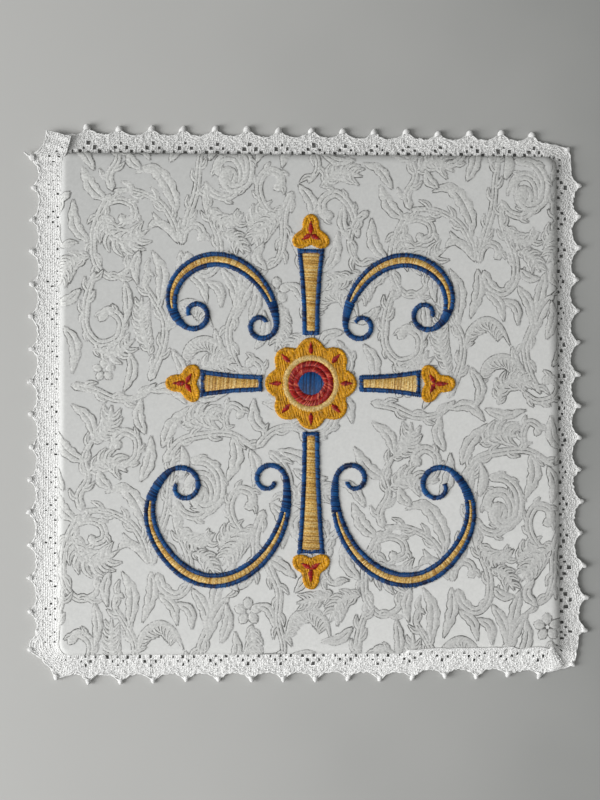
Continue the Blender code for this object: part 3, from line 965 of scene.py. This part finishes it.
boss = ring_line(CROSS_CENTRE, boss_radius)
orange = fill_rows([boss, ring_line(CROSS_CENTRE, lambda angle: RING_RADIUS)])
orange += sew_inwards(boss, EDGE_WIDTH, EDGE_TOP)
straw = ring_line(CROSS_CENTRE, lambda angle: RING_RADIUS + STRAW_OUT)
orange += sew_inwards(straw, STRAW_WIDTH, STITCH_TOP, 2)
orange_nodes = ["boss_petals"]
red = []
for lobe in range(BOSS_LOBES):
    red += drop(CROSS_CENTRE, heading(360 / BOSS_LOBES * lobe), *BOSS_DROP)
for name, (turn, end) in ARMS.items():
    centre = CROSS_CENTRE + heading(turn) * (end + BUD_OFFSET)
    bud = ring_line(centre, lambda angle: BUD_RADIUS + BUD_SWELL * math.cos(3 * angle), math.radians(turn))
    orange += fill_rows([bud])
    orange += sew_inwards(bud, EDGE_WIDTH, EDGE_TOP)
    orange_nodes.append(f"bud_{name}")
    for leaf, shape in BUD_DROPS.items():
        red += drop(centre, heading(turn + leaf), *shape)
# The second orange is a darker copy of the first, drawn at random for some stitches: painted shade.
oranges = [
    thread_finish("orange_rayon", (0.62, 0.28, 0.003), (0.94, 0.50, 0.014), specular=0.45),
    thread_finish("orange_rayon_painted_shade", (0.36, 0.16, 0.002), (0.70, 0.34, 0.006), specular=0.45),
    thread_finish("straw_rayon", (0.56, 0.36, 0.10), (0.88, 0.70, 0.34), specular=0.45),
]
sew("orange_stitching", orange, oranges, orange_nodes)

# The red stitching.
# Red rayon: two rope-like rows of slanted stitches round the boss, and a drop on each lobe and bud.
ROPE_RADII = (RING_RADIUS - 0.8, CENTRE_RADIUS + 0.85)
ROPE_HALF_WIDTH = 0.95
ROPE_SLANT = 0.5
# The reds each rope stitch is drawn from: the red itself, its darker copy as painted shade, and its salmon
# copy as painted highlight.
RED_MIX = (0, 0, 0, 1, 2)
for radius in ROPE_RADII:
    rope = ring_line(CROSS_CENTRE, lambda angle: radius)
    red += sew_band(rope, lambda share: ROPE_HALF_WIDTH, slant=ROPE_SLANT, dye_or_painted_light=RED_MIX)
# A darker and a salmon copy of the red: painted shade and painted highlights.
reds = [
    thread_finish("red_rayon", (0.24, 0.005, 0.004), (0.56, 0.022, 0.014)),
    thread_finish("red_rayon_painted_shade", (0.12, 0.003, 0.004), (0.34, 0.008, 0.012)),
    thread_finish("red_rayon_painted_highlight", (0.50, 0.06, 0.03), (0.80, 0.22, 0.12)),
]
sew("red_stitching", red, reds, ["boss_ring"])

# The blue centre of the boss.
# The same blue rayon in one satin disc, whose ends go under the inner red rope.
disc = CENTRE_RADIUS + 0.3
centre_stitches = sew_band(
    [CROSS_CENTRE - Vector((disc, 0)), CROSS_CENTRE + Vector((disc, 0))],
    lambda share: disc * math.sqrt(max(1 - (2 * share - 1) ** 2, 0.02)),
)
sew("blue_centre", centre_stitches, blues, ["boss_centre"])

# The lace edging.
# One strip of white cotton bobbin lace about 9 mm wide, caught in the panel's seam all round: cloth
# stitch with six holes under every scallop. Both ends show at the top left corner, where the first
# lies over the last, and near the lower right corner the lace is drawn up over the panel's edge.
STRAIGHT = 152.0
CORNER = 4.0
SIDE_RUN = STRAIGHT + math.pi / 2 * CORNER
REPEATS = 15
LACE_PITCH = STRAIGHT / REPEATS
STEPS = 20
TIP = STEPS // 2
COLUMNS = (REPEATS + 1) * STEPS
QUARTER = (COLUMNS - 2 * STEPS) // 4
# Each side from the lower right corner anticlockwise, as (first and last tip along it, turn of the tip
# on the corner after it in degrees, how far the lace is pulled in at its first tip, at its quarters, at
# its last tip and on the corner, how open its holes stand, how thick its picots are).
LACE_SIDES = (
    (3.1, 147.0, 39, (0.1, 1.3, 1.9, 1.9, 0.8, 2.2), 0.95, 0.60),
    (3.5, 148.0, 45, (1.1, 0.9, 0.6, 0.4, 0.3, 0.5), 1.0, 0.95),
    (6.9, 152.7, 67, (-0.9, -1.1, -1.1, -1.1, -0.8, 0.4), 0.45, 0.65),
    (5.4, 149.8, 45, (0.0, 0.2, 0.3, 0.1, -0.3, 0.4), 0.75, 0.55),
)
SEWN = 80.0
LACE_HEIGHT = 2.0
LACE_DROOP = 1.3
DROOP_WIDTH = 3.5
LACE_LOWEST = 0.45
LACE_WIDTH = 8
LACE_RIPPLE = 0.25
RIPPLES_ROUND = 11
PULLED_IN = (0.2, 0, 0.1, 0.3, 0, 0.2, 0.1, 0, 0.3, 0.1, 0, 0.2, 0, 0.3, 0.1, 0)
ROWS = (-0.7, 0.0, 0.55, 1.15, 1.7, 2.25, 2.8, 3.4, 3.95)
FREE_ROWS = 5
LACE_ROWS = len(ROWS) + FREE_ROWS
HOLES = ((8, 6), (5, 4), (11, 4), (8, 2), (2, 2), (14, 2))
HOLE_RADIUS = (0.65, 1.15)
FREE_ROW_PITCH = 0.6
TANGLE = 0.24
UNEVEN = 0.13
WANDER = 0.25
WANDER_COLUMNS = 21
LACE_START = 2 * COLUMNS
LACE_END = LACE_START + 4 * COLUMNS - 12
# The pleat before the lower right corner: its column, its two folds, as (columns from it, how far past
# the side's last tip they are sewn), its height, and the columns that it takes in each way.
PLEAT = COLUMNS - 18
PLEAT_FOLDS = ((-2, 4.6), (2, 2.6))
PLEAT_LIFT = 0.7
PLEAT_COLUMNS = 8
# The lace drawn up over the panel's edge: how far, the repeats of its side where it begins to rise and
# to fall, and how many it takes for each.
DRAWN_UP = 1.5
DRAWN_UP_FROM = 9.4
DRAWN_UP_TO = REPEATS + 0.3
DRAWN_UP_RISE = 2
DRAWN_UP_FALL = 0.5
# The strip's first end, a flap that lies over the last: its columns, their pitch, how many are straight
# and how many bend, its lean in degrees, its lift and its waves.
FLAP_COLUMNS = 26
FLAP_PITCH = 0.427
FLAP_STRAIGHT = 16
FLAP_BEND = 10
FLAP_LEAN = 15
FLAP_LIFT = 0.75
FLAP_WAVE = 0.25


def lace_reach(share):
    return 5.9 + 2.2 * math.exp(-((abs(share - 0.5) / 0.18) ** 1.6))


known_tips = []
for side in range(1, 7):
    first, last, turn, pulled, _, _ = LACE_SIDES[side % 4]
    known = [(TIP + QUARTER * i, first + (last - first) * i / 4, pulled[i]) for i in range(5)]
    if side % 4 == 3:
        known += [(PLEAT + columns, last + past, pulled[4]) for columns, past in PLEAT_FOLDS]
    known.append((COLUMNS - TIP, STRAIGHT + math.radians(turn) * CORNER, pulled[5]))
    known_tips += [(side * COLUMNS + column, side * SIDE_RUN + run, pull) for column, run, pull in known]


def sewn_at(column):
    """How far round the seam this column of the strip is sewn, and how far it is pulled in there."""
    for near, far in zip(known_tips, known_tips[1:]):
        if near[0] <= column <= far[0]:
            return Vector(near[1:]).lerp(Vector(far[1:]), (column - near[0]) / (far[0] - near[0]))


hole_radii = {}
for repeat in range(8 * (REPEATS + 1)):
    for hole in HOLES:
        hole_radii[repeat, hole] = rng.uniform(*HOLE_RADIUS)


def hole_push(column, row):
    """How far this crossing of threads is pushed aside by the holes near it, along and out."""
    push = Vector((0, 0))
    last = len(ROWS) - 1
    out = ROWS[min(row, last)] + FREE_ROW_PITCH * max(row - last, 0)
    here = Vector((column * LACE_PITCH / STEPS, out))
    for hole in HOLES:
        for repeat in range(column // STEPS - 1, column // STEPS + 2):
            middle = (ROWS[hole[1]] + ROWS[hole[1] + 1]) / 2
            away = here - Vector(((hole[0] + 0.5) * LACE_PITCH / STEPS + repeat * LACE_PITCH, middle))
            radius = hole_radii[repeat, hole] * LACE_SIDES[max(column, LACE_START) // COLUMNS % 4][4]
            push += away.normalized() * (math.sqrt(away.length**2 + radius**2) - away.length)
    return push * min(max(row - 0.5, 0), 1)


pushes = {}


def lace_place(column, row, lift=0.0, out_more=0.0):
    """Where a point of the lace lies, from its column along the strip and its row out from the seam."""
    if (column, row) not in pushes:
        tangle = noise.noise_vector(Vector((column * 0.73 + 0.5, row * 0.67 + 0.5, 11)))
        tangle = tangle * TANGLE + Vector([rng.uniform(-UNEVEN, UNEVEN) for axis in range(3)])
        pushes[column, row] = hole_push(column, row), tangle * min(row, 1)
    push, tangle = pushes[column, row]
    share = column % STEPS / STEPS
    side, repeat = divmod(column // STEPS, REPEATS + 1)
    reach = lace_reach(share) - PULLED_IN[repeat] * lace_reach(share) / lace_reach(0.5)
    run, pull = sewn_at(max(column, LACE_START + TIP))
    known = len(ROWS) - 1
    out = ROWS[min(row, known)] + push.y + tangle.y
    if row > known:
        out += (reach - ROWS[known]) * (row - known) / FREE_ROWS
    out += out_more
    wander = noise.noise_vector(Vector((column / WANDER_COLUMNS, 0, 3)))
    out += WANDER * wander.x * eased(out / 3)
    out -= pull * min(row / known, 1) ** 1.5
    drawn_up = 0.0
    if side % 4 == 3:
        drawn_up = DRAWN_UP * eased((repeat + share - DRAWN_UP_FROM) / DRAWN_UP_RISE)
        drawn_up *= 0.7 + 0.9 * noise.noise(Vector((column / 9, 7, 0)))
        drawn_up *= 1 - eased((repeat + share - DRAWN_UP_TO) / DRAWN_UP_FALL)
    out -= drawn_up
    height = LACE_HEIGHT - LACE_DROOP * (1 - math.exp(-max(out, 0) / DROOP_WIDTH)) + tangle.z
    ripple = math.sin(math.tau * RIPPLES_ROUND * column / COLUMNS / 4)
    height += LACE_RIPPLE * ripple * max(out, 0) / LACE_WIDTH
    if drawn_up > 0:
        radius = TURN / MM
        edge = radius + math.sqrt(max(radius**2 - max(radius + min(out, 0), 0) ** 2, 0))
        over = max(edge + 0.15 - height, 0) if out < 0 else 0.9 * math.exp(-out)
        height += over * min(drawn_up * 2, 1)
    height += FLAP_LIFT * eased((LACE_START + 14 - column) / 12)
    if side % 4 == 3:
        height += PLEAT_LIFT * eased(1 - abs(column % COLUMNS - PLEAT) / PLEAT_COLUMNS)
    height = max(height, LACE_LOWEST)
    sewn = run % SIDE_RUN
    flap = max(LACE_START + TIP - column, 0)
    if flap:
        sewn -= flap * FLAP_PITCH + max(flap - 20, 0) * 0.07
    if sewn < STRAIGHT:
        place = Vector((SEWN + out, sewn + push.x + tangle.x - STRAIGHT / 2))
    else:
        turn = Matrix.Rotation((sewn - STRAIGHT) / CORNER + (push.x + tangle.x) / 14, 2)
        place = Vector((STRAIGHT / 2, STRAIGHT / 2)) + turn @ Vector((CORNER + out, 0))
    if flap:
        pivot = Vector((SEWN, -STRAIGHT / 2))
        lean = spin(-FLAP_LEAN * eased((flap - FLAP_STRAIGHT) / FLAP_BEND))
        place = pivot + lean @ (place - pivot)
        height += FLAP_WAVE * math.sin(flap * 0.5) ** 2
    place = Matrix.Rotation(math.pi / 2 * (2 if flap else run // SIDE_RUN), 2) @ place
    return Vector((*place, height + lift))


lace_columns = range(LACE_START - FLAP_COLUMNS, LACE_END + 1)
bm = bmesh.new()
verts, column_of = grid(
    bm, len(lace_columns), LACE_ROWS, lambda column, row: lace_place(lace_columns[column], row) * MM
)
order = {vert: i for i, vert in enumerate(verts)}
opened = []
for face in bm.faces:
    first = min(order[vert] for vert in face.verts)
    row, column = divmod(first, len(lace_columns))
    if (lace_columns[column] % STEPS, row) in HOLES:
        opened.append(face)
bmesh.ops.delete(bm, geom=opened, context="FACES")
cotton, fibre, place, shader = finish("lace_cotton", 0.9, specular=0.15, sheen=0.2)
# Painted light and shade: the lace is painted darker at the upper left and lighter at the lower right.
turned = painted_light_towards_lower_right(fibre, place)
shade = turned.mix((0.71, 0.71, 0.70, 1), (0.90, 0.90, 0.89, 1))
light = turned.mix((0.84, 0.84, 0.83, 1), (0.97, 0.97, 0.96, 1))
dress(fibre, shader, speckle(fibre, place, 0.4 * MM).mix(shade, light))
lace = add_cloth("lace_cloth_stitch", bm, [cotton])
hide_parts("lace_edging")


def crossing(column, row, lift):
    """Where a thread lies at a crossing: above the cloth at every second one, and below it between."""
    return lace_place(column, row, lift if (column + row) % 2 else -lift)


lengthwise = [(0, [crossing(c, row, 0.1) for c in lace_columns]) for row in range(LACE_ROWS)]
crosswise = [(0, [crossing(c, row, -0.1) for row in range(LACE_ROWS)]) for c in lace_columns]
passives = sew("lace_lengthwise_threads", lengthwise, [cotton], thread=0.2)
workers = sew("lace_crosswise_threads", crosswise, [cotton], thread=0.16)

# The cord and picots along the lace's free edge: two thick cotton threads twisted together, wound into
# a knob on every tip, with one thread's end left long at the top left corner.
CORD_TURN = 0.8
CORD_RADIUS = 0.17
KNOB_STEPS = 36
KNOB_LOWEST = 0.25
cord = []
last_row = LACE_ROWS - 1
for strand in (0, math.pi):
    points = []
    for column in lace_columns:
        angle = strand + column * CORD_TURN
        lift, out = CORD_RADIUS * math.sin(angle), CORD_RADIUS * math.cos(angle)
        points.append(lace_place(column, last_row, lift, out))
    cord.append((0, points))
for column in lace_columns:
    if column % STEPS != TIP:
        continue
    tip = lace_place(column, last_row)
    along = (lace_place(column + 1, last_row) - lace_place(column - 1, last_row)).normalized()
    outward = Vector((along.y, -along.x, 0)).normalized()
    outward = (outward + along * rng.uniform(-0.3, 0.3)).normalized()
    turns = rng.uniform(4.4, 5.4)
    length = rng.uniform(1.4, 1.9)
    thick = LACE_SIDES[column // COLUMNS % 4][5]
    knob = []
    for step in range(KNOB_STEPS + 1):
        share = step / KNOB_STEPS
        angle = math.tau * turns * share
        round_at = along * math.cos(angle) + Vector((0, 0, 1)) * math.sin(angle)
        width = 0.14 + thick * math.sin(math.pi * (0.3 + 0.7 * share)) ** 0.6
        point = tip + outward * (share * length - 0.7) + round_at * width
        knob.append((point.x, point.y, max(point.z, KNOB_LOWEST)))
    cord.append((0, knob))
tail_start = lace_place(LACE_START - TIP, last_row)
tail = ((0, 0, 0.1), (-0.9, 0.3, 0.3), (-1.8, 0.9, 0.2), (-2.6, 1.7, 0.0))
for strand in (0, math.pi):
    points = []
    for i, bend in enumerate(smooth_line(tail, 0.3)):
        twist = strand + i * 0.9
        points.append(tail_start + bend + Vector((0, 0.15 * math.cos(twist), 0.15 * math.sin(twist))))
    cord.append((0, points))
edge_cord = sew("lace_edge_cord", cord, [cotton], thread=0.22)
